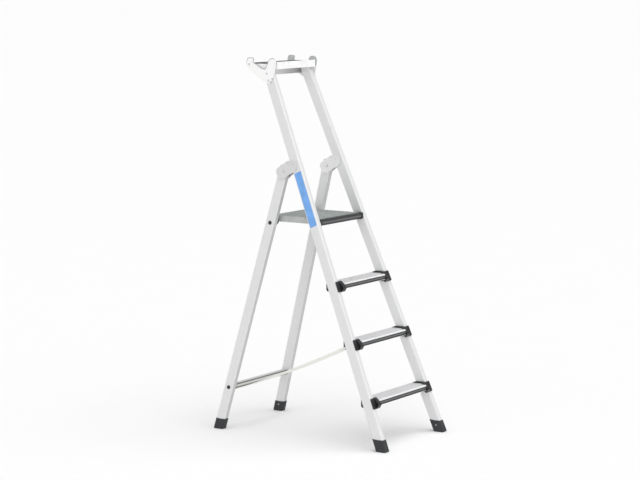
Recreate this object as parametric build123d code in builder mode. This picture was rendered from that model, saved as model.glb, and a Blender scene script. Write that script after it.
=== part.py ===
"""Platform step ladder: three steps, a hinged platform, swinging rear legs and a tool tray at the top.

Frame: X across the ladder, Y from the climbing side (-Y) to the rear legs (+Y), Z up, millimetres.
The origin is on the floor, midway between the feet.
"""
import math
import os

from build123d import *

os.makedirs("parts", exist_ok=True)

# ---------------------------------------------------------------- driving dimensions
stance = 884.2            # floor length over the tubes, front stiles to rear legs
front_half = 251.0        # outer half width of the front stiles at floor level
front_lean = 0.4067       # rearward run of the front stiles per unit of height
front_taper = 0.0607      # inward run of each front stile per unit of height
stile_top = 1563.0        # height of the stile tops
rear_lean = 0.2667        # forward run of the rear legs per unit of height
rear_taper = 0.0529       # inward run of each rear leg per unit of height
leg_top = 1152.0
rail_width = 27.0         # stile tube, across the ladder
leg_width = 24.5          # leg tube, across the ladder
tube_depth = 45.0         # both tubes, front to back
tube_wall = 2.0
tube_radius = 5.0
tread_heights = (206.4, 441.4, 676.4)
tread_depth = 80.0
tread_nose = 15.0         # tread front, ahead of the stile fronts
tread_thick = 24.0
platform_top = 937.5
platform_half = 145.0
platform_front = -55.1
platform_rear = 202.9
platform_thick = 25.5
hinge_z = 1130.0          # height of the rear legs' hinge pins
pivot_z = 910.6           # height of the platform's pivots on the rear legs
bar_z = 186.0             # height of the rear cross bar

SIDES = (("left", -1), ("right", 1))

# ---------------------------------------------------------------- derived places
stile_run = tube_depth * math.hypot(1, front_lean)
leg_run = tube_depth * math.hypot(1, rear_lean)
rail_span = rail_width * math.hypot(1, front_taper)
leg_span = leg_width * math.hypot(1, rear_taper)


def stile_front(z):
    """Y of the stiles' front faces at height z."""
    return front_lean * z - stance / 2


def stile_rear(z):
    """Y of the stiles' rear faces at height z."""
    return stile_front(z) + stile_run


def stile_outer(z):
    """Outer half width of the front frame at height z."""
    return front_half - front_taper * z


def stile_inner(z):
    """Inner half width of the front frame at height z."""
    return stile_outer(z) - rail_span


def leg_mid(z):
    """Y of the rear legs' centre lines at height z."""
    return stance / 2 - rear_lean * z - leg_run / 2


hinge_y = leg_mid(hinge_z)
hinge_x = stile_outer(hinge_z) - rail_span / 2


def leg_centre(z):
    """Distance of the rear legs' centre lines from the middle at height z."""
    return hinge_x + rear_taper * (hinge_z - z)


def leg_inner(z):
    """Inner half width of the rear frame at height z."""
    return leg_centre(z) - leg_span / 2


def leg_outer(z):
    """Outer half width of the rear frame at height z."""
    return leg_centre(z) + leg_span / 2


def stile_plane(s, z):
    """Cross-section plane of a stile, its Z along the tube."""
    x = s * (stile_outer(z) - rail_span / 2)
    return Plane((x, stile_front(z) + stile_run / 2, z), x_dir=(1, 0, s * front_taper),
                 z_dir=(-s * front_taper, front_lean, 1))


def leg_plane(s, z):
    """Cross-section plane of a rear leg, its Z along the tube."""
    return Plane((s * leg_centre(z), leg_mid(z), z), x_dir=(1, 0, s * rear_taper),
                 z_dir=(-s * rear_taper, -rear_lean, 1))


def stile_side(s, y, z, offset):
    """Plane along a stile's side faces, offset outward from the outer face; its normal points outward."""
    return Plane((s * stile_outer(z), y, z), x_dir=(0, 1, 0), z_dir=(s, 0, front_taper)).offset(offset)


def stile_face(s, z, offset=0.0):
    """Plane on a stile's front face, offset forward; its normal points forward."""
    face = Plane((s * (stile_outer(z) - rail_span / 2), stile_front(z), z), x_dir=(1, 0, s * front_taper),
                 z_dir=(-s * front_lean * front_taper, -1 - front_taper ** 2, front_lean))
    return face.offset(offset)


def across(s, x, y, z):
    """Plane square to the X axis, its normal pointing outward."""
    return Plane((s * x, y, z), x_dir=(0, 1, 0), z_dir=(s, 0, 0))


def slab_points(s, y0, z0, points):
    """Points (y, z) on a side plane placed at (y0, z0)."""
    return [(y - y0, s * (z - z0)) for y, z in points]


# ---------------------------------------------------------------- fastener places
stile_rivets = ((50.0, 1143.0), (66.0, 1164.0))
stud_y, stud_z = 92.5, 1169.0
pin_radius = 5.0
bush_radius = 8.0
plate_thick = 2.5
rivet_radius = 2.5
rivet_head = 4.5
bolt_radius = 4.0
cap_rivet_drop = 14.0
foot_rivet_z = 30.0
tray_rivets = ((213.0, 1540.0), (203.0, 1511.0), (183.0, 1518.5), (191.0, 1504.5))
ear_rivet = (304.5, 1577.5)
cap_wall = 5.0
strap_front_z = 409.0
strap_front_y = stile_front(tread_heights[1]) + 56
strap_wall_x = stile_inner(strap_front_z) - cap_wall
bar_low = bar_z - 11.0
strap_rear_x = 17.0 - leg_inner(bar_low)

# ---------------------------------------------------------------- front stiles
for side, s in SIDES:
    with BuildPart() as front_stile:
        with BuildSketch(stile_plane(s, -40)):
            RectangleRounded(rail_width, tube_depth, tube_radius)
            RectangleRounded(rail_width - 2 * tube_wall, tube_depth - 2 * tube_wall, tube_radius - tube_wall,
                             mode=Mode.SUBTRACT)
        extrude(amount=1850)
        split(bisect_by=Plane.XY.offset(6), keep=Keep.TOP)
        split(bisect_by=Plane.XY.offset(stile_top), keep=Keep.BOTTOM)
        for y, z in stile_rivets:
            with Locations(stile_side(s, y, z, -rail_width / 2)):
                Cylinder(rivet_radius, 40, mode=Mode.SUBTRACT)
        for y, z in tray_rivets:
            with Locations(stile_side(s, y, z, 0)):
                Cylinder(rivet_radius, 12, mode=Mode.SUBTRACT)
        for tread_z in tread_heights:
            with Locations(stile_face(s, tread_z - cap_rivet_drop)):
                Cylinder(rivet_radius, 12, mode=Mode.SUBTRACT)
    front_stile.part.label = f"front_stile_{side}"
    export_step(front_stile.part, f"parts/front_stile_{side}.step")

# ---------------------------------------------------------------- rear legs
for side, s in SIDES:
    with BuildPart() as rear_leg:
        with BuildSketch(leg_plane(s, -40)):
            RectangleRounded(leg_width, tube_depth, tube_radius)
            RectangleRounded(leg_width - 2 * tube_wall, tube_depth - 2 * tube_wall, tube_radius - tube_wall,
                             mode=Mode.SUBTRACT)
        extrude(amount=1350)
        split(bisect_by=Plane.XY.offset(6), keep=Keep.TOP)
        split(bisect_by=leg_plane(s, leg_top), keep=Keep.BOTTOM)
        with Locations(across(s, hinge_x, hinge_y, hinge_z)):
            Cylinder(bush_radius, 60, mode=Mode.SUBTRACT)
        with Locations(across(s, leg_centre(pivot_z), leg_mid(pivot_z), pivot_z),
                       across(s, leg_centre(bar_z), leg_mid(bar_z), bar_z)):
            Cylinder(bolt_radius, 60, mode=Mode.SUBTRACT)
    rear_leg.part.label = f"rear_leg_{side}"
    export_step(rear_leg.part, f"parts/rear_leg_{side}.step")

# ---------------------------------------------------------------- feet
sleeve = 2.4
sole = 5.8


def foot(section, width, middle, run, lean, height):
    """Moulded foot around a tube's lower end.

    section gives the tube's cross-section plane at a height; middle, run and lean place the tube's side view.
    """
    reach = run / 2 + sleeve * math.hypot(1, lean)
    with BuildPart() as block:
        with BuildSketch(section(-40)):
            RectangleRounded(width + 2 * sleeve, tube_depth + 2 * sleeve, tube_radius + sleeve)
        extrude(amount=200)
        with BuildSketch(Plane.YZ):
            with BuildLine():
                Polyline((middle - reach, 0), (middle + reach, 0),
                         (middle + reach + lean * height, height + 1.2), (middle + lean * height, height - 0.6),
                         (middle - reach + lean * height, height), close=True)
            make_face()
            fillet(vertices().group_by(Axis.Y)[0], 8)
        extrude(amount=400, both=True, mode=Mode.INTERSECT)
    with BuildPart() as pocket:
        with BuildSketch(section(-40)):
            RectangleRounded(width, tube_depth, tube_radius)
        extrude(amount=200)
        split(bisect_by=Plane.XY.offset(sole), keep=Keep.TOP)
    with BuildPart() as shoe:
        add(block.part)
        add(pocket.part, mode=Mode.SUBTRACT)
    return shoe


for side, s in SIDES:
    with BuildPart() as front_foot:
        add(foot(lambda z: stile_plane(s, z), rail_width, stile_front(0) + stile_run / 2, stile_run, front_lean,
                 50).part)
        with Locations(across(s, stile_inner(foot_rivet_z), stile_front(foot_rivet_z) + stile_run / 2,
                              foot_rivet_z)):
            Cylinder(rivet_radius, 12, mode=Mode.SUBTRACT)
    front_foot.part.label = f"front_foot_{side}"
    export_step(front_foot.part, f"parts/front_foot_{side}.step")
    with BuildPart() as rear_foot:
        add(foot(lambda z: leg_plane(s, z), leg_width, leg_mid(0), leg_run, -rear_lean, 45).part)
        with Locations(across(s, leg_inner(foot_rivet_z), leg_mid(foot_rivet_z), foot_rivet_z)):
            Cylinder(rivet_radius, 12, mode=Mode.SUBTRACT)
    rear_foot.part.label = f"rear_foot_{side}"
    export_step(rear_foot.part, f"parts/rear_foot_{side}.step")

# rivets in the inner faces of the feet
with BuildPart() as front_foot_rivets:
    for side, s in SIDES:
        with Locations(across(s, stile_inner(foot_rivet_z) - 1.8, stile_front(foot_rivet_z) + stile_run / 2,
                              foot_rivet_z)):
            Cylinder(rivet_radius, 3.0)
front_foot_rivets.part.label = "front_foot_rivets"
export_step(front_foot_rivets.part, "parts/front_foot_rivets.step")
with BuildPart() as rear_foot_rivets:
    for side, s in SIDES:
        with Locations(across(s, leg_inner(foot_rivet_z) - 1.8, leg_mid(foot_rivet_z), foot_rivet_z)):
            Cylinder(rivet_radius, 3.0)
rear_foot_rivets.part.label = "rear_foot_rivets"
export_step(rear_foot_rivets.part, "parts/rear_foot_rivets.step")

# ---------------------------------------------------------------- steps
nose_inboard = 22.0
strip_height = 17.0
strip_thick = 2.0


for number, tread_z in enumerate(tread_heights, start=1):
    front = stile_front(tread_z) - tread_nose
    rear = front + tread_depth
    with BuildPart() as tread:
        with BuildSketch(Plane.YZ):
            with BuildLine():
                Polyline((front + 5, tread_z), (rear, tread_z), (rear, tread_z - 4), (rear - 2, tread_z - 4),
                         (rear - 2, tread_z - tread_thick), (front, tread_z - tread_thick), (front, tread_z - 5))
                CenterArc((front + 5, tread_z - 5), 5, 90, 90)
            make_face()
            with Locations((front + 22.2, tread_z - 12.6), (front + 58.8, tread_z - 12.6)):
                RectangleRounded(34.4, 18.2, 2, mode=Mode.SUBTRACT)
            with Locations((front, tread_z - 14)):
                Rectangle(2 * strip_thick, strip_height, mode=Mode.SUBTRACT)
            with Locations([(front + 11 + 4 * n, tread_z) for n in range(17)]):
                Rectangle(1.4, 1.6, mode=Mode.SUBTRACT)
        extrude(amount=300, both=True)
        for side, s in SIDES:
            split(bisect_by=stile_side(s, 0, tread_z, -rail_width - cap_wall - 0.05), keep=Keep.BOTTOM)
            with BuildSketch(Plane.YZ.offset(s * 400)):
                with Locations((stile_front(tread_z) - 21.5, tread_z - 20)):
                    Rectangle(50, 70)
            extrude(amount=-s * (400 - stile_inner(tread_z) + nose_inboard), mode=Mode.SUBTRACT)
    tread.part.label = f"step_{number}_tread"
    export_step(tread.part, f"parts/step_{number}_tread.step")
    with BuildPart() as strip:
        with BuildSketch(Plane.YZ):
            with Locations((front + strip_thick / 2, tread_z - 14)):
                Rectangle(strip_thick, strip_height)
            with Locations([(front, tread_z - 20 + 4 * n) for n in range(4)]):
                Rectangle(1.4, 1.4, mode=Mode.SUBTRACT)
        extrude(amount=stile_inner(tread_z) - nose_inboard - 0.1, both=True)
    strip.part.label = f"step_{number}_front_strip"
    export_step(strip.part, f"parts/step_{number}_front_strip.step")
    for side, s in SIDES:
        with BuildPart() as wall:
            with BuildSketch(Plane.YZ):
                with BuildLine():
                    Polyline((stile_front(tread_z + 9), tread_z + 9), (stile_front(tread_z + 9) + 45, tread_z + 7),
                             (stile_front(tread_z) + 62, tread_z + 2), (stile_front(tread_z) + 64, tread_z - 3),
                             (stile_front(tread_z) + 62.5, tread_z - 32),
                             (stile_front(tread_z) + 57, tread_z - 38),
                             (stile_front(tread_z - 34), tread_z - 34), close=True)
                make_face()
            extrude(amount=s * 300)
            split(bisect_by=stile_side(s, 0, tread_z, -rail_width), keep=Keep.BOTTOM)
            split(bisect_by=stile_side(s, 0, tread_z, -rail_width - cap_wall), keep=Keep.TOP)
        with BuildPart() as nose:
            with BuildSketch(Plane.YZ):
                with BuildLine():
                    Polyline((stile_front(tread_z + 9) + 3.4, tread_z + 9), (stile_front(tread_z + 7) - 3, tread_z + 8),
                             (stile_front(tread_z - 14) - 14.5, tread_z - 14),
                             (stile_front(tread_z - 18) - 15, tread_z - 18),
                             (stile_front(tread_z - 22) - 14, tread_z - 22),
                             (stile_front(tread_z - 33) - 3.4, tread_z - 33), (stile_front(tread_z - 35), tread_z - 35),
                             (stile_front(tread_z - 35) + 3.4, tread_z - 35), close=True)
                make_face()
            extrude(amount=s * 300)
            with BuildSketch(Plane.YZ.offset(s * (stile_inner(tread_z) - nose_inboard + 0.15))):
                with Locations((stile_front(tread_z), tread_z - 14)):
                    Rectangle(80, 70)
            extrude(amount=s * 60, mode=Mode.INTERSECT)
            split(bisect_by=stile_side(s, 0, tread_z, -rail_width), keep=Keep.BOTTOM)
        with BuildPart() as cap:
            add(wall.part)
            add(nose.part)
            with BuildSketch(stile_face(s, tread_z - 13)):
                RectangleRounded(rail_width, 45, 4)
            extrude(amount=3.4)
            with Locations(stile_face(s, tread_z - cap_rivet_drop)):
                Cylinder(rivet_radius, 12, mode=Mode.SUBTRACT)
            if s < 0 and number == 2:
                with Locations(across(s, strap_wall_x, strap_front_y, strap_front_z)):
                    Cylinder(rivet_radius, 12, mode=Mode.SUBTRACT)
        cap.part.label = f"step_{number}_cap_{side}"
        export_step(cap.part, f"parts/step_{number}_cap_{side}.step")

# rivets through the cap flanges into the stile fronts
with BuildPart() as step_cap_rivets:
    for tread_z in tread_heights:
        for side, s in SIDES:
            with Locations(stile_face(s, tread_z - cap_rivet_drop, 0.7)):
                Cylinder(rivet_radius, 5.4)
            with Locations(stile_face(s, tread_z - cap_rivet_drop, 4.0)):
                Cylinder(rivet_head, 1.2)
step_cap_rivets.part.label = "step_cap_rivets"
export_step(step_cap_rivets.part, "parts/step_cap_rivets.step")

# ---------------------------------------------------------------- platform front rail, fixed between the stiles
rail_front = -64.1
rail_top = 934.6
ledge_top = 911.7
rail_cap = 13.0
with BuildPart() as platform_front_rail:
    with BuildSketch(Plane.YZ):
        with BuildLine():
            Polyline((rail_front + 3, rail_top), (rail_front + 7.6, rail_top), (rail_front + 7.6, ledge_top),
                     (rail_front + 47, ledge_top), (rail_front + 47, ledge_top - 10), (rail_front + 44, ledge_top - 10),
                     (rail_front + 44, ledge_top - 2.5), (rail_front + 4, ledge_top - 2.5),
                     (rail_front, rail_top - 18), (rail_front, rail_top - 3), close=True)
        make_face()
        with Locations([(rail_front, rail_top - 6 - 4 * n) for n in range(4)]):
            Rectangle(1.2, 1.4, mode=Mode.SUBTRACT)
    extrude(amount=stile_inner(rail_top) - rail_cap, both=True)
platform_front_rail.part.label = "platform_front_rail"
export_step(platform_front_rail.part, "parts/platform_front_rail.step")
for side, s in SIDES:
    with BuildPart() as rail_end:
        with BuildSketch(Plane.YZ.offset(s * (stile_inner(rail_top) - rail_cap + 0.05))):
            with BuildLine():
                Polyline((rail_front - 1.5, rail_top + 1), (rail_front + 44, rail_top + 1), (rail_front + 50, 912),
                         (rail_front + 46, 902), (rail_front + 3, 907.5), (rail_front - 1.5, 911), close=True)
            make_face()
            fillet(vertices().group_by(Axis.X)[0].sort_by(Axis.Y)[-1], 5)
        extrude(amount=s * 30)
        split(bisect_by=stile_side(s, 0, rail_top, -rail_width), keep=Keep.BOTTOM)
    rail_end.part.label = f"platform_rail_cap_{side}"
    export_step(rail_end.part, f"parts/platform_rail_cap_{side}.step")

# ---------------------------------------------------------------- platform
platform_low = platform_top - platform_thick
undercut = 0.34 * platform_thick          # the deck's front face leans back under its nose
side_wall = 3.0
with BuildPart() as platform_deck:
    with BuildSketch(Plane.YZ):
        with BuildLine():
            Polyline((platform_front, platform_top), (platform_rear - 3, platform_top),
                     (platform_rear - 3, platform_low), (platform_front + undercut, platform_low), close=True)
        make_face()
        with Locations([(platform_front + 38 + 43 * n, platform_low + 7) for n in range(5)]):
            Rectangle(40, 29, mode=Mode.SUBTRACT)
        with Locations((platform_front + 120, platform_top)):
            with GridLocations(5, 1, 50, 1):
                Rectangle(1.6, 2, mode=Mode.SUBTRACT)
    extrude(amount=platform_half - side_wall - 0.05, both=True)
platform_deck.part.label = "platform_deck"
export_step(platform_deck.part, "parts/platform_deck.step")
for side, s in SIDES:
    with BuildPart() as platform_side:
        with BuildSketch(Plane.YZ.offset(s * (platform_half - side_wall))):
            with BuildLine():
                Polyline((platform_front, platform_top), (platform_rear - 3, platform_top),
                         (platform_rear - 3, platform_low), (platform_front + undercut, platform_low), close=True)
            make_face()
        extrude(amount=s * side_wall)
    platform_side.part.label = f"platform_side_{side}"
    export_step(platform_side.part, f"parts/platform_side_{side}.step")
with BuildPart() as platform_rear_edge:
    with BuildSketch(Plane.YZ):
        with Locations((platform_rear - 1.45, platform_top - platform_thick / 2)):
            Rectangle(2.9, platform_thick)
    extrude(amount=platform_half, both=True)
platform_rear_edge.part.label = "platform_rear_edge"
export_step(platform_rear_edge.part, "parts/platform_rear_edge.step")

# pivot lugs beside the deck, turning on bolts through the rear legs
pivot_y = leg_mid(pivot_z)
lug_end = leg_inner(platform_top) - 0.5
for side, s in SIDES:
    with BuildPart() as lug:
        with BuildSketch(Plane.YZ.offset(s * (platform_half + 0.05))):
            with BuildLine():
                Polyline((pivot_y - 12, pivot_z), (pivot_y - 12, platform_top - 3), (pivot_y + 12, platform_top - 3),
                         (pivot_y + 12, pivot_z))
                CenterArc((pivot_y, pivot_z), 12, 180, 180)
            make_face()
            with Locations((pivot_y, pivot_z)):
                Circle(bolt_radius + 0.06, mode=Mode.SUBTRACT)
        extrude(amount=s * (lug_end - platform_half - 0.05))
    lug.part.label = f"platform_pivot_bracket_{side}"
    export_step(lug.part, f"parts/platform_pivot_bracket_{side}.step")


def leg_bolts(z, reach):
    """Bolts across both legs at height z, running from the outer faces inward to the half width reach."""
    with BuildPart() as bolts:
        for side, s in SIDES:
            length = leg_outer(z) - 0.4 - reach
            with Locations(across(s, reach + length / 2, leg_mid(z), z)):
                Cylinder(bolt_radius, length)
    return bolts


def leg_plugs(z):
    """Round plugs over the bolt ends on the legs' outer faces at height z."""
    with BuildPart() as plugs:
        for side, s in SIDES:
            face = Plane((s * leg_outer(z), leg_mid(z), z), x_dir=(0, 1, 0), z_dir=(s, 0, rear_taper))
            with BuildSketch(face):
                Circle(8.5)
            extrude(amount=2.4, taper=22)
    return plugs


for name, node in (("platform_pivot_bolts", leg_bolts(pivot_z, platform_half + 1)),
                   ("platform_bolt_plugs", leg_plugs(pivot_z)),
                   ("crossbar_bolts", leg_bolts(bar_z, leg_inner(bar_z) - 24)),
                   ("crossbar_plugs", leg_plugs(bar_z))):
    node.part.label = name
    export_step(node.part, f"parts/{name}.step")

# ---------------------------------------------------------------- hinges at the legs' tops
plate_outline = ((150, 1128), (146, 1142), (130, 1153), (92, 1178), (48, 1178), (40, 1146), (60, 1130), (84, 1120),
                 (108, 1100), (138, 1100))
for layer, offset in (("outer", 0.0), ("inner", -rail_width - plate_thick)):
    for side, s in SIDES:
        with BuildPart() as hinge_plate:
            with BuildSketch(stile_side(s, hinge_y, hinge_z, offset)):
                with BuildLine():
                    Polyline(slab_points(s, hinge_y, hinge_z, plate_outline), close=True)
                make_face()
                fillet(vertices(), 5)
            extrude(amount=plate_thick)
            for y, z in stile_rivets + ((stud_y, stud_z),):
                with Locations(stile_side(s, y, z, -rail_width / 2)):
                    Cylinder(rivet_radius, 60, mode=Mode.SUBTRACT)
            with Locations(across(s, hinge_x, hinge_y, hinge_z)):
                Cylinder(pin_radius, 60, mode=Mode.SUBTRACT)
        hinge_plate.part.label = f"hinge_plate_{layer}_{side}"
        export_step(hinge_plate.part, f"parts/hinge_plate_{layer}_{side}.step")

plate_out = rail_width / 2 + plate_thick
with BuildPart() as hinge_pins:
    for side, s in SIDES:
        with Locations(across(s, hinge_x, hinge_y, hinge_z)):
            Cylinder(pin_radius, 2 * plate_out + 2)
        with Locations(across(s, hinge_x + plate_out + 1.5, hinge_y, hinge_z),
                       across(s, hinge_x - plate_out - 1.5, hinge_y, hinge_z)):
            Cylinder(8, 1.6)
hinge_pins.part.label = "hinge_pins"
export_step(hinge_pins.part, "parts/hinge_pins.step")
with BuildPart() as hinge_bushes:
    for side, s in SIDES:
        with BuildSketch(across(s, hinge_x - leg_width / 2, hinge_y, hinge_z)):
            Circle(bush_radius)
            Circle(pin_radius + 0.06, mode=Mode.SUBTRACT)
        extrude(amount=leg_width)
hinge_bushes.part.label = "hinge_bushes"
export_step(hinge_bushes.part, "parts/hinge_bushes.step")
with BuildPart() as hinge_rivets:
    for side, s in SIDES:
        for y, z in stile_rivets:
            with Locations(stile_side(s, y, z, -rail_width / 2)):
                Cylinder(rivet_radius, 2 * plate_out)
            with Locations(stile_side(s, y, z, plate_thick + 0.6),
                           stile_side(s, y, z, -rail_width - plate_thick - 0.6)):
                Cylinder(rivet_head, 1.2)
hinge_rivets.part.label = "hinge_rivets"
export_step(hinge_rivets.part, "parts/hinge_rivets.step")
with BuildPart() as hinge_spacers:
    for side, s in SIDES:
        with Locations(stile_side(s, stud_y, stud_z, -rail_width / 2)):
            Cylinder(rivet_radius, 2 * plate_out)
            Cylinder(4.5, rail_width)
        with Locations(stile_side(s, stud_y, stud_z, plate_thick + 0.6),
                       stile_side(s, stud_y, stud_z, -rail_width - plate_thick - 0.6)):
            Cylinder(rivet_head, 1.2)
hinge_spacers.part.label = "hinge_spacers"
export_step(hinge_spacers.part, "parts/hinge_spacers.step")

# ---------------------------------------------------------------- rear cross bar
with BuildPart() as rear_crossbar:
    with BuildSketch(Plane.YZ):
        with Locations((leg_mid(bar_z), bar_z)):
            RectangleRounded(24, 22, 3)
            Circle(bolt_radius, mode=Mode.SUBTRACT)
        with Locations((leg_mid(bar_z) - 7.5, bar_z), (leg_mid(bar_z) + 7.5, bar_z)):
            Rectangle(4.4, 17, mode=Mode.SUBTRACT)
        with Locations((leg_mid(bar_z) - 12, bar_z - 7.2), (leg_mid(bar_z) - 12, bar_z + 7.2)):
            Rectangle(1.8, 1.6, mode=Mode.SUBTRACT)
    extrude(amount=260, both=True)
    for side, s in SIDES:
        face = Plane((s * (leg_inner(bar_z) - 0.02), 0, bar_z), x_dir=(0, 1, 0), z_dir=(s, 0, rear_taper))
        split(bisect_by=face, keep=Keep.BOTTOM)
    with Locations((strap_rear_x, leg_mid(bar_z), bar_low)):
        Cylinder(rivet_radius, 8, mode=Mode.SUBTRACT)
rear_crossbar.part.label = "rear_crossbar"
export_step(rear_crossbar.part, "parts/rear_crossbar.step")

# ---------------------------------------------------------------- spread strap on the left
strap_width = 15.0
strap_thick = 1.4
strap_sag = 9.0
strap_gap = 0.4                           # between the strap's face and what it is riveted to
strap_start = Vector(strap_thick / 2 + strap_gap - strap_wall_x, strap_front_y - 5, strap_front_z + 1)
strap_bend = Vector(strap_rear_x, leg_mid(bar_z) - 14, bar_low - strap_gap - strap_thick / 2)
strap_end = strap_bend + Vector(0, 24, 0)


def strap_section(t):
    """Cross-section plane of the strap at share t of its free run; it turns a quarter turn on the way."""
    point = strap_start + (strap_bend - strap_start) * t - Vector(0, 0, 4 * strap_sag * t * (1 - t))
    run = strap_bend - strap_start - Vector(0, 0, 4 * strap_sag * (1 - 2 * t))
    upright = Vector(1, 0, 0).cross(run).normalized() * -1
    turn = math.radians(90 * t)
    width = upright * math.cos(turn) + Vector(1, 0, 0) * math.sin(turn)
    return Plane(point, x_dir=width, z_dir=run)


with BuildPart() as spread_strap:
    for n in range(9):
        with BuildSketch(strap_section(n / 8)):
            Rectangle(strap_width, strap_thick)
    with BuildSketch(Plane(strap_end, x_dir=(1, 0, 0), z_dir=(0, 1, 0))):
        Rectangle(strap_width, strap_thick)
    loft(ruled=True)
    with Locations(across(-1, strap_wall_x, strap_front_y, strap_front_z),
                   Plane((strap_rear_x, leg_mid(bar_z), bar_low))):
        Cylinder(rivet_radius + 0.1, 12, mode=Mode.SUBTRACT)
spread_strap.part.label = "spread_strap"
export_step(spread_strap.part, "parts/spread_strap.step")

# studs that hold the strap's ends, through the cap's tail and into the cross bar
with BuildPart() as strap_stud_front:
    with Locations(across(-1, strap_wall_x + 1.2, strap_front_y, strap_front_z)):
        Cylinder(rivet_radius, 8.4)
    with Locations(across(-1, strap_wall_x - 3.6, strap_front_y, strap_front_z),
                   across(-1, strap_wall_x + cap_wall + 1.2, strap_front_y, strap_front_z)):
        Cylinder(5, 1.6)
strap_stud_front.part.label = "strap_stud_front"
export_step(strap_stud_front.part, "parts/strap_stud_front.step")
with BuildPart() as strap_stud_rear:
    with Locations((strap_rear_x, leg_mid(bar_z), bar_low + 0.5)):
        Cylinder(rivet_radius, 6.4)
    with Locations((strap_rear_x, leg_mid(bar_z), bar_low - 3.2)):
        Cylinder(5, 1.6)
strap_stud_rear.part.label = "strap_stud_rear"
export_step(strap_stud_rear.part, "parts/strap_stud_rear.step")

# ---------------------------------------------------------------- tool tray
tray_half = 151.0
tray_front = 171.9
tray_rear = 287.0
tray_high = 1585.0
tray_wall = 2.5
plate_thin = 2.4
tray_outline = ((196, 1497.5), (189, 1504), (181, 1521), (173, 1550), (168, 1575), (167, 1591), (171, 1599),
                (179, 1603), (192, 1603), (203, 1598), (208.5, 1585), (215, 1569), (222, 1558.5), (234, 1559.5),
                (249, 1565), (267, 1576), (279, 1582), (286, 1587), (283, 1599), (287, 1604), (309, 1604),
                (316, 1596), (318, 1581), (312, 1565), (290, 1545), (258, 1524), (228, 1508), (208, 1500))
for side, s in SIDES:
    with BuildPart() as tray_end_plate:
        with BuildSketch(stile_side(s, 200, 1540, 0)):
            with BuildLine():
                Polyline(slab_points(s, 200, 1540, tray_outline), close=True)
            make_face()
        extrude(amount=plate_thin)
        for y, z in tray_rivets + (ear_rivet,):
            with Locations(stile_side(s, y, z, 0)):
                Cylinder(rivet_radius, 12, mode=Mode.SUBTRACT)
    tray_end_plate.part.label = f"tray_end_plate_{side}"
    export_step(tray_end_plate.part, f"parts/tray_end_plate_{side}.step")
with BuildPart() as tray_bowl:
    with BuildSketch(Plane.XY.offset(stile_top + 0.1)):
        with Locations((0, (tray_front + tray_rear) / 2)):
            RectangleRounded(2 * tray_half, tray_rear - tray_front, 8)
    extrude(amount=tray_high - stile_top - 0.1)
    with BuildSketch(Plane.XY.offset(stile_top + 0.1 + tray_wall)):
        with Locations((0, (tray_front + tray_rear) / 2)):
            RectangleRounded(2 * tray_half - 2 * tray_wall, tray_rear - tray_front - 2 * tray_wall, 6)
    extrude(amount=60, mode=Mode.SUBTRACT)
tray_bowl.part.label = "tray_bowl"
export_step(tray_bowl.part, "parts/tray_bowl.step")
with BuildPart() as tray_front_panel:
    with BuildSketch(Plane.YZ):
        with Locations((tray_front - 1.3, 1574.3)):
            Rectangle(2.4, 30.6)
    extrude(amount=146, both=True)
tray_front_panel.part.label = "tray_front_panel"
export_step(tray_front_panel.part, "parts/tray_front_panel.step")
with BuildPart() as tray_rivet_set:
    for side, s in SIDES:
        for y, z in tray_rivets + (ear_rivet,):
            with Locations(stile_side(s, y, z, 0)):
                Cylinder(rivet_radius, 2 * plate_thin)
            with Locations(stile_side(s, y, z, plate_thin + 0.6)):
                Cylinder(rivet_head, 1.2)
tray_rivet_set.part.label = "tray_rivets"
export_step(tray_rivet_set.part, "parts/tray_rivets.step")

# cross rail joining the stile tops under the tray
with BuildPart() as tray_cross_rail:
    with BuildSketch(Plane.YZ):
        with Locations((stile_rear(1554) + 13.2, 1542.5)):
            RectangleRounded(26, 23, 3)
            RectangleRounded(22, 19, 1.5, mode=Mode.SUBTRACT)
    extrude(amount=260, both=True)
    for side, s in SIDES:
        split(bisect_by=stile_side(s, 0, 1542, -0.05), keep=Keep.BOTTOM)
tray_cross_rail.part.label = "tray_cross_rail"
export_step(tray_cross_rail.part, "parts/tray_cross_rail.step")

# ---------------------------------------------------------------- blue label band on the left stile
band_low, band_high = 905.0, 1132.0
with BuildPart() as label_band:
    with BuildSketch(stile_side(-1, 0, band_low, 0)):
        with BuildLine():
            corners = [(stile_front(z) + reach, z) for z, reach in
                       ((band_low + 11, 5.6), (band_low - 4, 43), (band_high - 8, 43), (band_high + 7, 5.6))]
            Polyline(slab_points(-1, 0, band_low, corners), close=True)
        make_face()
    extrude(amount=0.25)
label_band.part.label = "label_band"
export_step(label_band.part, "parts/label_band.step")
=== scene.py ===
"""Platform step ladder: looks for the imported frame. Metres, same frame as the CAD model."""
import math

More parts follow.
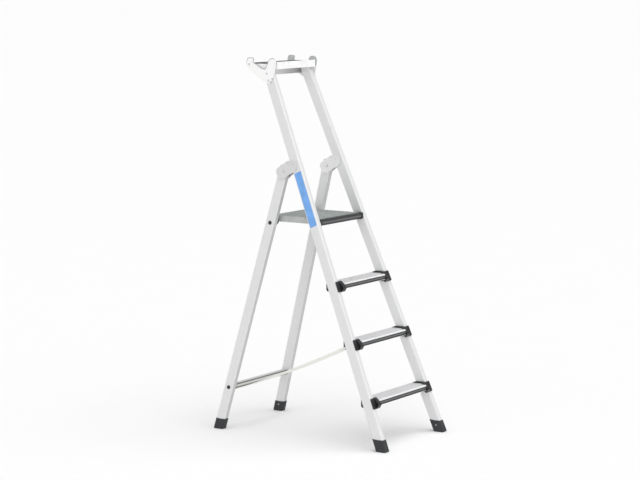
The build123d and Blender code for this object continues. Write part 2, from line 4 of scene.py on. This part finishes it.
import bpy
from mathutils import Euler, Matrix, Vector


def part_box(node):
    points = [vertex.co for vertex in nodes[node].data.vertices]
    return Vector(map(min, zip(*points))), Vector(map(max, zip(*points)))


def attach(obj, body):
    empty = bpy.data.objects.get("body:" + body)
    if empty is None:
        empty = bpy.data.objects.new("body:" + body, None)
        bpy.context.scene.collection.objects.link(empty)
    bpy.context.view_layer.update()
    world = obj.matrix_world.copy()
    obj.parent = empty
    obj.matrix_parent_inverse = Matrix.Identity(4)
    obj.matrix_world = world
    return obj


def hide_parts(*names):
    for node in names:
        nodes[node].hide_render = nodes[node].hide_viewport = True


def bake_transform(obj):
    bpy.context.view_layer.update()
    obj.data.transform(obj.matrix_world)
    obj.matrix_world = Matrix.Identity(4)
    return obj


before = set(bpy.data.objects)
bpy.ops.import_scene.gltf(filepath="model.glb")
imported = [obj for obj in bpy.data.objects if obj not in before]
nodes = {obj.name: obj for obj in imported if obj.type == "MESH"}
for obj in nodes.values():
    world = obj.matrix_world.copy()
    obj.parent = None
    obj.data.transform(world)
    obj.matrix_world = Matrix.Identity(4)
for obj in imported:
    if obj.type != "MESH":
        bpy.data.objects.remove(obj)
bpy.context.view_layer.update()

FRONT_LEAN = math.atan(0.4067)
REAR_LEAN = -math.atan(0.2667)
TAPER = 0.0607                       # how fast the stiles close in with height
STILE_FACE = 0.2510                  # half width over the stiles at floor level
PLATE_THICK = 0.0024
PLATE_LOW = 1.4975                   # lowest point of the tray's end plates
BOWL_FLOOR = 1.562
RIM_RADIUS = 0.0019
LEG_FRONT = 0.38218                  # the legs' front faces, measured across their lean
STRAP_WIDTH = 0.015
STRAP_THICK = 0.0013
STRAP_SAG = 0.009
STRAP_STEPS = 48
# the dark strip's own tone, then the painted highlight on its ribs
STRIP_TONE_AND_HIGHLIGHT = ((0.026, 0.026, 0.029), (0.15, 0.15, 0.155))


# ------------------------------------------------------------------ material helpers
class Maker:
    """Small helper that wires shader nodes of one material."""

    def __init__(self, name, rough=0.5, metallic=0.0, color=(0.8, 0.8, 0.8), spec=0.5):
        self.mat = bpy.data.materials.new(name)
        self.mat.use_nodes = True
        self.tree = self.mat.node_tree
        self.shader = self.tree.nodes["Principled BSDF"]
        self.shader.inputs["Base Color"].default_value = (*color, 1)
        self.shader.inputs["Roughness"].default_value = rough
        self.shader.inputs["Metallic"].default_value = metallic
        self.shader.inputs["Specular IOR Level"].default_value = spec
        self.coords = self.tree.nodes.new("ShaderNodeTexCoord").outputs["Object"]

    def link(self, a, b):
        self.tree.links.new(a, b)

    def mapped(self, scale, lean=0.0):
        """Object coordinates turned so that Z runs along a leaning tube, then scaled."""
        turn = self.tree.nodes.new("ShaderNodeMapping")
        turn.inputs["Rotation"].default_value = (lean, 0, 0)
        self.link(self.coords, turn.inputs["Vector"])
        size = self.tree.nodes.new("ShaderNodeMapping")
        size.inputs["Scale"].default_value = scale
        self.link(turn.outputs["Vector"], size.inputs["Vector"])
        return size.outputs["Vector"]

    def noise(self, scale, detail=4.0, lean=0.0, rough=0.55):
        node = self.tree.nodes.new("ShaderNodeTexNoise")
        node.inputs["Scale"].default_value = 1.0
        node.inputs["Detail"].default_value = detail
        node.inputs["Roughness"].default_value = rough
        self.link(self.mapped(scale, lean), node.inputs["Vector"])
        return node.outputs["Fac"]

    def ramp(self, fac, stops):
        node = self.tree.nodes.new("ShaderNodeValToRGB")
        ramp = node.color_ramp
        while len(ramp.elements) < len(stops):
            ramp.elements.new(0.5)
        for element, (place, color) in zip(ramp.elements, stops):
            element.position = place
            element.color = (*color, 1) if len(color) == 3 else color
        self.link(fac, node.inputs["Fac"])
        return node.outputs["Color"]

    def span(self, fac, low, high):
        node = self.tree.nodes.new("ShaderNodeMapRange")
        node.inputs["To Min"].default_value = low
        node.inputs["To Max"].default_value = high
        self.link(fac, node.inputs["Value"])
        return node.outputs["Result"]

    def mix(self, fac, a, b, kind="MIX"):
        node = self.tree.nodes.new("ShaderNodeMix")
        node.data_type = "RGBA"
        node.blend_type = kind
        for value, socket in ((fac, node.inputs["Factor"]), (a, node.inputs["A"]), (b, node.inputs["B"])):
            if isinstance(value, (int, float)):
                socket.default_value = value
            elif isinstance(value, tuple):
                socket.default_value = (*value, 1)
            else:
                self.link(value, socket)
        return node.outputs["Result"]

    def math(self, kind, a, b=None):
        node = self.tree.nodes.new("ShaderNodeMath")
        node.operation = kind
        for value, socket in ((a, node.inputs[0]), (b, node.inputs[1])):
            if value is None:
                continue
            if isinstance(value, (int, float)):
                socket.default_value = value
            else:
                self.link(value, socket)
        return node.outputs[0]

    def axis(self, name, lean=0.0):
        split = self.tree.nodes.new("ShaderNodeSeparateXYZ")
        self.link(self.mapped((1, 1, 1), lean), split.inputs[0])
        return split.outputs[name]

    def bump(self, height, distance, strength=1.0):
        node = self.tree.nodes.new("ShaderNodeBump")
        node.inputs["Strength"].default_value = strength
        node.inputs["Distance"].default_value = distance
        previous = self.shader.inputs["Normal"].links
        if previous:
            self.link(previous[0].from_socket, node.inputs["Normal"])
        self.link(height, node.inputs["Height"])
        self.link(node.outputs["Normal"], self.shader.inputs["Normal"])


def aluminium(name, lean, tone=0.78, metallic=0.25, rough=0.45, front=None):
    """Satin extrusion: fine drawn lines along the tube, faint handling marks. With front given, the narrow front
    face gets painted shade.
    """
    m = Maker(name, rough, metallic, (tone, tone, tone))
    lines = m.noise((900, 900, 5), 3, lean)
    cloud = m.noise((9, 9, 4), 3, lean)
    scuff = m.noise((60, 60, 22), 6, lean, 0.7)
    base = m.ramp(lines, [(0.3, (tone * 0.97,) * 3), (0.7, (tone * 1.02, tone * 1.022, tone * 1.025))])
    marks = m.ramp(scuff, [(0.55, (1, 1, 1)), (0.78, (0.955, 0.955, 0.955))])
    soft = m.ramp(cloud, [(0.3, (0.985, 0.985, 0.985)), (0.7, (1, 1, 1))])
    base = m.mix(1.0, base, marks, "MULTIPLY")
    base = m.mix(1.0, base, soft, "MULTIPLY")
    if front is not None:
        # painted shade: the narrow front face of the rear legs, which faces forward and down, is darkened to 0.74 of
        # its tone
        face = m.math("LESS_THAN", m.axis("Y", lean), front + 0.0012)
        base = m.mix(face, base, m.mix(1.0, base, (0.74, 0.74, 0.75), "MULTIPLY"))
    m.link(base, m.shader.inputs["Base Color"])
    m.link(m.span(lines, rough - 0.06, rough + 0.08), m.shader.inputs["Roughness"])
    m.bump(lines, 0.00006, 0.5)
    return m.mat


def plastic(name, color, rough=0.5, grain=900.0, depth=0.0001, spec=0.5):
    """Moulded plastic with a fine spark-eroded grain and slight tone changes."""
    m = Maker(name, rough, 0.0, color, spec)
    fine = m.noise((grain,) * 3, 3)
    cloud = m.noise((30,) * 3, 4)
    low = tuple(c * 0.86 for c in color)
    high = tuple(min(1, c * 1.14) for c in color)
    m.link(m.ramp(cloud, [(0.3, low), (0.7, high)]), m.shader.inputs["Base Color"])
    m.link(m.span(fine, rough - 0.08, rough + 0.08), m.shader.inputs["Roughness"])
    m.bump(fine, depth, 0.6)
    return m.mat


def ribbed(name, color, groove_shade, pitch, start, rough=0.45, metallic=0.3, lip=None):
    """Ribbed extrusion: painted shade in the grooves between the ribs, which run across the ladder."""
    m = Maker(name, rough, metallic, color)
    y = m.axis("Y")
    phase = m.math("FRACT", m.math("DIVIDE", m.math("SUBTRACT", y, start), pitch))
    tri = m.math("ABSOLUTE", m.math("SUBTRACT", phase, 0.5))
    fine = m.noise((20, 700, 700), 3)
    # painted shade: the groove colour stands for the shade down in the grooves
    base = m.ramp(tri, [(0.30, color), (0.42, groove_shade)])
    if lip is not None:
        base = m.mix(m.math("LESS_THAN", y, lip), base, (0.86, 0.87, 0.87))
    grain = m.ramp(fine, [(0.3, (0.93, 0.93, 0.93)), (0.7, (1, 1, 1))])
    m.link(m.mix(1.0, base, grain, "MULTIPLY"), m.shader.inputs["Base Color"])
    m.link(m.span(fine, rough - 0.06, rough + 0.1), m.shader.inputs["Roughness"])
    m.bump(tri, 0.0006, 0.4)
    m.bump(fine, 0.00008, 0.5)
    return m.mat


def banded(name, colors, pitch, start, axis="Z", rough=0.5):
    """Strip with lines along the ladder's width, one tone after another up its face; the lighter tone is a painted
    highlight where the ribs catch the light.
    """
    m = Maker(name, rough, 0.0, colors[0])
    z = m.axis(axis)
    phase = m.math("FRACT", m.math("DIVIDE", m.math("SUBTRACT", z, start), pitch))
    fine = m.noise((40, 800, 800), 3)
    stops = [(0.02, colors[0]), (0.28, colors[0]), (0.42, colors[1]), (0.66, colors[1]), (0.8, colors[0])]
    # painted highlight: the second colour is the light caught by the ribs up the strip's face
    base = m.ramp(phase, stops)
    grain = m.ramp(fine, [(0.3, (0.9, 0.9, 0.9)), (0.7, (1, 1, 1))])
    m.link(m.mix(1.0, base, grain, "MULTIPLY"), m.shader.inputs["Base Color"])
    m.link(m.span(fine, rough - 0.06, rough + 0.08), m.shader.inputs["Roughness"])
    m.bump(fine, 0.0001, 0.5)
    return m.mat


def lined(name, light, groove_shade):
    """Satin bar with painted shade in a line along its top edge and another along its bottom edge, where its grooves
    are.
    """
    m = Maker(name, 0.45, 0.2, light)
    low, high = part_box("rear_crossbar")
    height = m.math("DIVIDE", m.math("SUBTRACT", m.axis("Z"), low.z), high.z - low.z)
    lines = m.noise((6, 800, 800), 3)
    # painted shade: dark bands near the bottom and near the top of the bar
    base = m.ramp(height, [(0.0, groove_shade), (0.28, groove_shade), (0.38, light), (0.68, light), (0.76, groove_shade), (0.94, groove_shade),
                           (1.0, light)])
    grain = m.ramp(lines, [(0.3, (0.95, 0.95, 0.95)), (0.7, (1, 1, 1))])
    m.link(m.mix(1.0, base, grain, "MULTIPLY"), m.shader.inputs["Base Color"])
    m.link(m.span(lines, 0.4, 0.54), m.shader.inputs["Roughness"])
    m.bump(lines, 0.00006, 0.5)
    return m.mat


def shaded(name, left, right, start, end):
    """Moulding with painted shade: its tone falls from its left end to its right end."""
    m = Maker(name, 0.5, 0.0, left)
    share = m.math("DIVIDE", m.math("SUBTRACT", m.axis("X"), start), end - start)
    fine = m.noise((900,) * 3, 3)
    base = m.ramp(share, [(0.0, left), (1.0, right)])
    grain = m.ramp(fine, [(0.3, (0.94, 0.94, 0.94)), (0.7, (1, 1, 1))])
    m.link(m.mix(1.0, base, grain, "MULTIPLY"), m.shader.inputs["Base Color"])
    m.link(m.span(fine, 0.42, 0.58), m.shader.inputs["Roughness"])
    m.bump(fine, 0.0001, 0.6)
    return m.mat


def bowl(name, rim, wall):
    """Shallow tray: pale outside walls and floor, with painted shade on the top rim."""
    m = Maker(name, 0.5, 0.0, wall)
    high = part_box("tray_bowl")[1]
    fine = m.noise((700,) * 3, 3)
    # painted shade: the top 4.2 mm of the bowl takes the rim colour
    top = m.math("GREATER_THAN", m.axis("Z"), high.z - 0.0042)
    grain = m.ramp(fine, [(0.3, (0.93, 0.93, 0.93)), (0.7, (1, 1, 1))])
    m.link(m.mix(1.0, m.mix(top, wall, rim), grain, "MULTIPLY"), m.shader.inputs["Base Color"])
    m.link(m.span(fine, 0.42, 0.58), m.shader.inputs["Roughness"])
    m.bump(fine, 0.0001, 0.6)
    return m.mat


def two_faced(name, outside, inside):
    """End plate: bright on its outer face; its inner face is greyer above the bowl floor and a lighter grey below
    it.
    """
    m = Maker(name, 0.38, 0.0, outside)
    reach = m.math("ADD", m.math("ABSOLUTE", m.axis("X")), m.math("MULTIPLY", m.axis("Z"), TAPER))
    fine = m.noise((500,) * 3, 3)
    grain = m.ramp(fine, [(0.3, (0.95, 0.95, 0.95)), (0.7, (1, 1, 1))])
    low_part = tuple(0.25 * a + 0.75 * b for a, b in zip(inside, outside))
    inner = m.mix(m.math("GREATER_THAN", m.axis("Z"), BOWL_FLOOR), low_part, inside)
    base = m.mix(m.math("GREATER_THAN", reach, STILE_FACE + 0.75 * PLATE_THICK), inner, outside)
    m.link(m.mix(1.0, base, grain, "MULTIPLY"), m.shader.inputs["Base Color"])
    m.link(m.span(fine, 0.32, 0.44), m.shader.inputs["Roughness"])
    m.bump(fine, 0.00003, 0.6)
    return m.mat


def metal(name, tone=0.7, rough=0.3):
    """Plated steel: tiny mottled spangle and fine scratches."""
    m = Maker(name, rough, 1.0, (tone, tone, tone))
    spangle = m.tree.nodes.new("ShaderNodeTexVoronoi")
    spangle.inputs["Scale"].default_value = 260
    m.link(m.coords, spangle.inputs["Vector"])
    fine = m.noise((500, 500, 120), 5)
    base = m.ramp(spangle.outputs["Distance"], [(0.0, (tone * 0.93,) * 3), (0.8, (tone * 1.04,) * 3)])
    m.link(base, m.shader.inputs["Base Color"])
    m.link(m.span(fine, rough - 0.08, rough + 0.12), m.shader.inputs["Roughness"])
    m.bump(fine, 0.00005, 0.4)
    return m.mat


ALU_FRONT = aluminium("alu_front", FRONT_LEAN)
# painted shade on the rear legs' narrow front faces, from LEG_FRONT on
ALU_REAR = aluminium("alu_rear", REAR_LEAN, front=LEG_FRONT)
PLATE = metal("hinge_plate", 0.78, 0.34)
STEEL = metal("fastener", 0.72, 0.26)
DARK_STEEL = metal("cap_rivet", 0.09, 0.4)
BLACK = plastic("black_moulding", (0.012, 0.012, 0.014), 0.34)
RUBBER = plastic("foot_rubber", (0.026, 0.027, 0.03), 0.6, 700, 0.00015)
TRAY_BOWL_RIM_SHADE = bowl("tray_dark", (0.09, 0.093, 0.097), (0.95, 0.95, 0.95))
PLATE_WHITE = two_faced("tray_plate", (0.97, 0.97, 0.965), (0.5, 0.51, 0.515))
TRAY_WHITE = plastic("tray_white", (0.97, 0.97, 0.965), 0.35, 500, 0.00003)
LABEL = plastic("label_film", (0.17, 0.4, 0.82), 0.3, 300, 0.00002)
# painted shade: the grey of the beads along the end plates' rounded edges stands for the shade on those edges
RIM_SHADE = plastic("tray_rim", (0.42, 0.43, 0.435), 0.4, 600, 0.00003)
# painted shade: the second colour of each ribbed material is the shade in its grooves
DECK = ribbed("deck_ribs", (0.42, 0.46, 0.45), (0.2, 0.23, 0.22), 0.005, -0.0576)
SIDE = plastic("platform_side", (0.48, 0.5, 0.49), 0.42)
# painted shade: the bar's dark colour stands for the shade in its grooves
BAR = lined("bar_lines", (0.66, 0.665, 0.67), (0.2, 0.2, 0.16))
# painted shade: the rail under the tray darkens toward its right end
CROSS = shaded("tray_cross", (0.9, 0.9, 0.91), (0.36, 0.36, 0.37), -0.12, 0.12)
STRIP = banded("step_strip", STRIP_TONE_AND_HIGHLIGHT, 0.0175, 0.9117, "Z")


def paint(names, material):
    """Puts one material in every slot of the named CAD nodes."""
    for name in names:
        slots = nodes[name].material_slots
        if not slots:
            nodes[name].data.materials.append(material)
        for entry in slots:
            entry.link = "OBJECT"
            entry.material = material


def find(*starts):
    return [n for n in nodes if n.startswith(starts)]


paint(find("front_stile"), ALU_FRONT)
paint(find("rear_leg"), ALU_REAR)
paint(["rear_crossbar"], BAR)
paint(find("front_foot_l", "front_foot_r", "rear_foot_l", "rear_foot_r"), RUBBER)
paint(["step_cap_rivets"], DARK_STEEL)
paint(find("front_foot_rivets", "rear_foot_rivets", "hinge_rivets", "hinge_spacers", "hinge_pins",
           "tray_rivets", "strap_stud", "platform_pivot_bolts", "crossbar_bolts"), STEEL)
paint([n for n in nodes if "_cap_" in n and "rivets" not in n], BLACK)
paint(find("platform_rail_cap", "platform_bolt_plugs", "crossbar_plugs"), BLACK)
paint(find("platform_pivot_bracket", "hinge_bushes"), BLACK)
paint(find("hinge_plate"), PLATE)
paint(["platform_deck"], DECK)
paint(find("platform_side", "platform_rear_edge"), SIDE)
paint(["label_band"], LABEL)
paint(["tray_bowl"], TRAY_BOWL_RIM_SHADE)
paint(["tray_cross_rail"], CROSS)
paint(find("tray_end_plate"), PLATE_WHITE)
paint(["tray_front_panel"], TRAY_WHITE)
paint(["platform_front_rail"], STRIP)
for number in (1, 2, 3):
    low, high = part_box(f"step_{number}_tread")
    start = low.y + 0.011 + 0.002
    # painted shade: the tread's second colour is the shade in its grooves
    paint([f"step_{number}_tread"],
          ribbed(f"tread_{number}_ribs", (0.8, 0.8, 0.81), (0.58, 0.58, 0.59), 0.004, start,
                 lip=low.y + 0.006))
    low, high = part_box(f"step_{number}_front_strip")
    paint([f"step_{number}_front_strip"],
          banded(f"strip_{number}", STRIP_TONE_AND_HIGHLIGHT, 0.017, low.z, "Z"))


# ------------------------------------------------------------------ swept meshes
def swept(name, verts, ring):
    """Smooth closed mesh from verts, which hold one ring of points after another."""
    faces = []
    last = len(verts) - ring
    for start in range(0, last, ring):
        for k in range(ring):
            a, b = start + k, start + (k + 1) % ring
            faces.append((a, b, b + ring, a + ring))
    faces.append(tuple(range(ring - 1, -1, -1)))
    faces.append(tuple(range(last, last + ring)))
    mesh = bpy.data.meshes.new(name)
    mesh.from_pydata([tuple(v) for v in verts], [], faces)
    mesh.update()
    for polygon in mesh.polygons:
        polygon.use_smooth = True
    piece = bpy.data.objects.new(name, mesh)
    bpy.context.collection.objects.link(piece)
    return piece


def heading(points, index):
    """Direction in which the line runs at one of its points."""
    return (points[min(index + 1, len(points) - 1)] - points[max(index - 1, 0)]).normalized()


# ------------------------------------------------------------------ spread strap
def ribbon(name, points, sides, width, thick):
    """Flat band through points; sides holds the unit vector across the band at each point."""
    verts = []
    corners = ((-0.5, -0.5), (-0.42, -0.5), (0.42, -0.5), (0.5, -0.5), (0.5, 0.5), (0.42, 0.5), (-0.42, 0.5),
               (-0.5, 0.5))
    for index, (point, side) in enumerate(zip(points, sides)):
        normal = heading(points, index).cross(side).normalized()
        for a, b in corners:
            edge = 0.72 if abs(a) == 0.5 else 1.0
            verts.append(point + side * (a * width) + normal * (b * thick * edge))
    return swept(name, verts, len(corners))


def webbing(name):
    """Woven polyester: warp and weft ridges with a slightly uneven tone."""
    m = Maker(name, 0.85, 0.0, (0.97, 0.97, 0.92))
    m.shader.inputs["Sheen Weight"].default_value = 0.25
    warp = m.tree.nodes.new("ShaderNodeTexWave")
    warp.bands_direction = "Z"
    warp.inputs["Scale"].default_value = 220
    m.link(m.coords, warp.inputs["Vector"])
    weft = m.tree.nodes.new("ShaderNodeTexWave")
    weft.bands_direction = "Y"
    weft.inputs["Scale"].default_value = 160
    m.link(m.coords, weft.inputs["Vector"])
    weave = m.math("MULTIPLY", warp.outputs["Fac"], weft.outputs["Fac"])
    fuzz = m.noise((500,) * 3, 4)
    base = m.ramp(weave, [(0.0, (0.86, 0.86, 0.8)), (0.6, (1.0, 1.0, 0.96))])
    tone = m.ramp(fuzz, [(0.3, (0.95, 0.95, 0.94)), (0.7, (1, 1, 1))])
    m.link(m.mix(1.0, base, tone, "MULTIPLY"), m.shader.inputs["Base Color"])
    m.bump(weave, 0.0004, 0.7)
    return m.mat


front_lo, front_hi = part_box("strap_stud_front")
rear_lo, rear_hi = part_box("strap_stud_rear")
front_mid, rear_mid = (front_lo + front_hi) / 2, (rear_lo + rear_hi) / 2
strap_a = Vector((front_hi.x - 0.0033, front_mid.y - 0.005, front_mid.z + 0.001))
strap_b = Vector((rear_mid.x, rear_mid.y - 0.014, rear_lo.z + 0.0029))
points, sides = [], []
for index in range(STRAP_STEPS + 1):
    t = index / STRAP_STEPS
    run = strap_b - strap_a - Vector((0, 0, 4 * STRAP_SAG * (1 - 2 * t)))
    down = Vector((0, run.z, -run.y)).normalized()
    turn = math.radians(90 * t)
    points.append(strap_a.lerp(strap_b, t) - Vector((0, 0, 4 * STRAP_SAG * t * (1 - t))))
    sides.append((down * math.cos(turn) + Vector((1, 0, 0)) * math.sin(turn)).normalized())
for index in range(1, 9):
    points.append(strap_b + Vector((0, 0.003 * index, 0)))
    sides.append(Vector((1, 0, 0)))
strap = ribbon("strap_band", points, sides, STRAP_WIDTH, STRAP_THICK)
strap.data.materials.append(webbing("strap_webbing"))
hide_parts("spread_strap")
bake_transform(strap)


# ------------------------------------------------------------------ rounded rims of the tray's end plates
RIM_LINE = ((171, 1599), (179, 1603), (192, 1603), (203, 1598), (208.5, 1585), (215, 1569), (222, 1558.5),
            (234, 1559.5), (249, 1565), (267, 1576), (279, 1582), (286, 1587), (283, 1599), (287, 1604), (309, 1604),
            (316, 1596), (318, 1581), (313, 1567))


def bead(name, points, radii, ring=10):
    """Round bead through points; radii holds its thickness at each point."""
    verts = []
    for index, (point, radius) in enumerate(zip(points, radii)):
        ahead = heading(points, index)
        across = Vector((1, 0, 0))
        across = (across - ahead * across.dot(ahead)).normalized()
        other = ahead.cross(across)
        for k in range(ring):
            angle = 2 * math.pi * k / ring
            verts.append(point + (across * math.cos(angle) + other * math.sin(angle)) * radius)
    return swept(name, verts, ring)


def rounded(line, steps=4):
    """Smooth curve through the points of line."""
    out = []
    for index in range(len(line) - 1):
        p0, p1 = Vector(line[max(index - 1, 0)]), Vector(line[index])
        p2, p3 = Vector(line[index + 1]), Vector(line[min(index + 2, len(line) - 1)])
        for k in range(steps):
            u = k / steps
            out.append(0.5 * (2 * p1 + (p2 - p0) * u + (2 * p0 - 5 * p1 + 4 * p2 - p3) * u ** 2
                              + (3 * p1 - p0 - 3 * p2 + p3) * u ** 3))
    return out + [Vector(line[-1])]


for side, sign in (("left", -1), ("right", 1)):
    low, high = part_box(f"tray_end_plate_{side}")
    outer = max(abs(low.x), abs(high.x))
    curve = rounded(RIM_LINE)
    middle = outer - PLATE_THICK / 2 + TAPER * PLATE_LOW
    spots = [Vector((sign * (middle - TAPER * z / 1000), y / 1000, z / 1000)) for y, z in curve]
    taper = [min(1.0, 0.3 + 0.12 * min(n, len(spots) - 1 - n)) for n in range(len(spots))]
    rim = bead(f"tray_rim_{side}", spots, [RIM_RADIUS * share for share in taper])
    # painted shade on the rounded edge: the bead is real, its grey colour is shade
    rim.data.materials.append(RIM_SHADE)
    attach(rim, "front_frame")


# ------------------------------------------------------------------ floor, light, camera
def plain(name, color, rough):
    m = Maker(name, rough, 0.0, color, 0.2)
    m.link(m.ramp(m.noise((3,) * 3, 2), [(0.3, tuple(c * 0.995 for c in color)), (0.7, color)]),
           m.shader.inputs["Base Color"])
    return m.mat


bpy.ops.mesh.primitive_plane_add(size=900, location=(0, 0, -0.0002))
floor = bpy.context.object
floor.name = "floor"
floor.data.materials.append(plain("floor_paper", (0.84, 0.84, 0.84), 0.9))

world = bpy.data.worlds.new("studio")
bpy.context.scene.world = world
world.use_nodes = True
world.node_tree.nodes["Background"].inputs["Color"].default_value = (1, 1, 1, 1)
world.node_tree.nodes["Background"].inputs["Strength"].default_value = 0.45
bpy.context.scene.view_settings.view_transform = "Standard"


def soft_sun(name, toward, strength, spread):
    """Broad soft light that comes from the direction toward."""
    data = bpy.data.lights.new(name, "SUN")
    data.energy = strength
    data.angle = math.radians(spread)
    lamp = bpy.data.objects.new(name, data)
    lamp.rotation_euler = Vector(toward).to_track_quat("Z", "Y").to_euler()
    bpy.context.collection.objects.link(lamp)


soft_sun("key", (-0.05, -0.42, 0.9), 2.4, 80)
soft_sun("side", (-1.0, 0.0, 0.3), 0.5, 80)

camera_data = bpy.data.cameras.new("camera")
camera_data.lens = 121.63
camera_data.sensor_width = 36
camera_data.clip_end = 1200
camera = bpy.data.objects.new("camera", camera_data)
camera.location = (-7.7005, -4.9981, 2.00165)
camera.rotation_euler = Euler((math.radians(90 - 7.2834), 0, math.radians(-56.7615)))
bpy.context.collection.objects.link(camera)
bpy.context.scene.camera = camera
